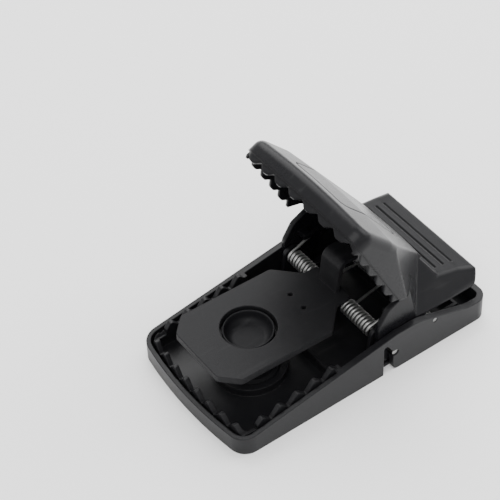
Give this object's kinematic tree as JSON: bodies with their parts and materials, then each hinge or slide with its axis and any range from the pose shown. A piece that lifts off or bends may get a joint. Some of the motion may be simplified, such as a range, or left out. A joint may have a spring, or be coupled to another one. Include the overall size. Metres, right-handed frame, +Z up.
{
  "type": "snap mouse trap",
  "caption": "Toothed snap mouse trap, set: a sprung jaw with a press lever over a tray with matching teeth, a trip pedal and a bait cup.",
  "frame": {"origin": "middle of the underside of the base tray", "axes": "+Z up; +Y from the toothed mouth towards the press lever; +X across the width"},
  "size_m": [0.075, 0.136, 0.0932],
  "materials": {
    "moulding": "satin",
    "steel": "drawn wire"
  },
  "bodies": {
    "base": {"base": "moulding", "jaw_axle": "steel", "spring_rod": "steel", "leg_anchor_pin": "steel", "left_spring": "steel", "right_spring": "steel"},
    "jaw": {"upper_jaw": "moulding"},
    "pedal": {"trip_pedal": "moulding"},
    "cup": {"bait_cup": "moulding"}
  },
  "joints": [
    {"name": "jaw_hinge", "type": "hinge", "parent": "base", "child": "jaw", "pos_m": [0, 0.0157, 0.0105], "axis": [1, 0, 0], "range_deg": [0, 71.5], "deforming": ["left_spring", "right_spring"]},
    {"name": "pedal_hinge", "type": "hinge", "parent": "base", "child": "pedal", "pos_m": [0, 0.0108, 0.0196], "axis": [1, 0, 0], "range_deg": [0, 9.4]},
    {"name": "cup_twist", "type": "hinge", "parent": "base", "child": "cup", "pos_m": [0, -0.0339, 0.003], "axis": [0, 0, -1], "range_deg": [0, 60]}
  ],
  "couplings": [
    {"joint": "pedal_hinge", "follows": "jaw_hinge", "ratio": 0.13}
  ]
}
